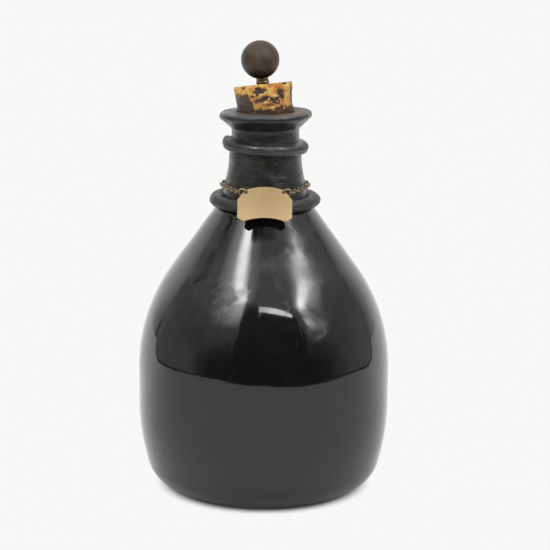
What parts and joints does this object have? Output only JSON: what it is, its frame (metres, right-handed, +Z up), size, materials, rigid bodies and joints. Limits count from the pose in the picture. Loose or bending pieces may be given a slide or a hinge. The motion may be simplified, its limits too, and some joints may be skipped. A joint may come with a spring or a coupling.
{
  "type": "onion bottle",
  "caption": "Pear-shaped black glass bottle with a string rim and neck collar, a cork stopper with a ball knob, and a metal label on a chain round the neck.",
  "frame": {"origin": "centre of the resting ring under the base", "axes": "+Z up along the body's axis, -Y out of the label's face, +X to the right of it"},
  "size_m": [0.144, 0.144, 0.2551],
  "materials": {
    "black_glass": "gloss",
    "cork": "matte",
    "knob": "satin",
    "old_brass": "satin",
    "label_metal": "satin",
    "ring_metal": "satin",
    "chain_metal": "satin"
  },
  "bodies": {
    "bottle": {"bottle_body": "black_glass", "string_rim": "black_glass", "neck_collar": "black_glass"},
    "stopper": {"cork": "cork", "ball_knob": "knob", "stem_ferrule": "old_brass", "spindle": "old_brass", "cork_washer": "old_brass", "spindle_nut": "old_brass"},
    "chain": {"chain_link_01": "chain_metal", "chain_link_02": "chain_metal", "chain_link_03": "chain_metal", "chain_link_04": "chain_metal", "chain_link_05": "chain_metal", "chain_link_06": "chain_metal", "chain_link_07": "chain_metal", "chain_link_08": "chain_metal", "chain_link_09": "chain_metal", "chain_link_10": "chain_metal", "chain_link_11": "chain_metal", "chain_link_12": "chain_metal", "chain_link_13": "chain_metal", "chain_link_14": "chain_metal", "chain_link_15": "chain_metal", "chain_link_16": "chain_metal", "chain_link_17": "chain_metal", "chain_link_18": "chain_metal", "chain_link_19": "chain_metal", "chain_link_20": "chain_metal", "chain_link_21": "chain_metal", "chain_link_22": "chain_metal", "chain_link_23": "chain_metal", "chain_link_24": "chain_metal", "chain_link_25": "chain_metal", "chain_link_26": "chain_metal", "chain_link_27": "chain_metal", "chain_link_28": "chain_metal", "chain_link_29": "chain_metal", "chain_link_30": "chain_metal", "chain_link_31": "chain_metal", "chain_link_32": "chain_metal", "chain_link_33": "chain_metal", "chain_link_34": "chain_metal", "chain_link_35": "chain_metal", "chain_link_36": "chain_metal", "chain_link_37": "chain_metal", "chain_link_38": "chain_metal", "chain_link_39": "chain_metal", "chain_link_40": "chain_metal", "chain_link_41": "chain_metal", "chain_link_42": "chain_metal", "chain_link_43": "chain_metal", "chain_link_44": "chain_metal", "chain_link_45": "chain_metal"},
    "ring_left": {"jump_ring_left": "ring_metal"},
    "ring_right": {"jump_ring_right": "ring_metal"},
    "label": {"label_plate": "label_metal"}
  },
  "joints": [
    {"name": "stopper_pull", "type": "slide", "parent": "bottle", "child": "stopper", "axis": [0, 0, 1], "range_m": [0, 0.06]},
    {"name": "chain_turn", "type": "hinge", "parent": "bottle", "child": "chain", "pos_m": [0, 0, 0.17411], "axis": [0, 0, 1], "continuous": true},
    {"name": "ring_left_swing", "type": "hinge", "parent": "chain", "child": "ring_left", "pos_m": [-0.0124, -0.02704, 0.17411], "axis": [-1, 0, 0], "range_deg": [0, 35]},
    {"name": "ring_right_swing", "type": "hinge", "parent": "chain", "child": "ring_right", "pos_m": [0.0124, -0.02704, 0.17411], "axis": [-1, 0, 0], "range_deg": [0, 35]},
    {"name": "label_swing", "type": "hinge", "parent": "chain", "child": "label", "pos_m": [0, -0.02704, 0.17411], "axis": [-1, 0, 0], "range_deg": [0, 70]}
  ],
  "couplings": [
    {"joint": "ring_left_swing", "follows": "label_swing", "ratio": 0.5},
    {"joint": "ring_right_swing", "follows": "label_swing", "ratio": 0.5}
  ]
}
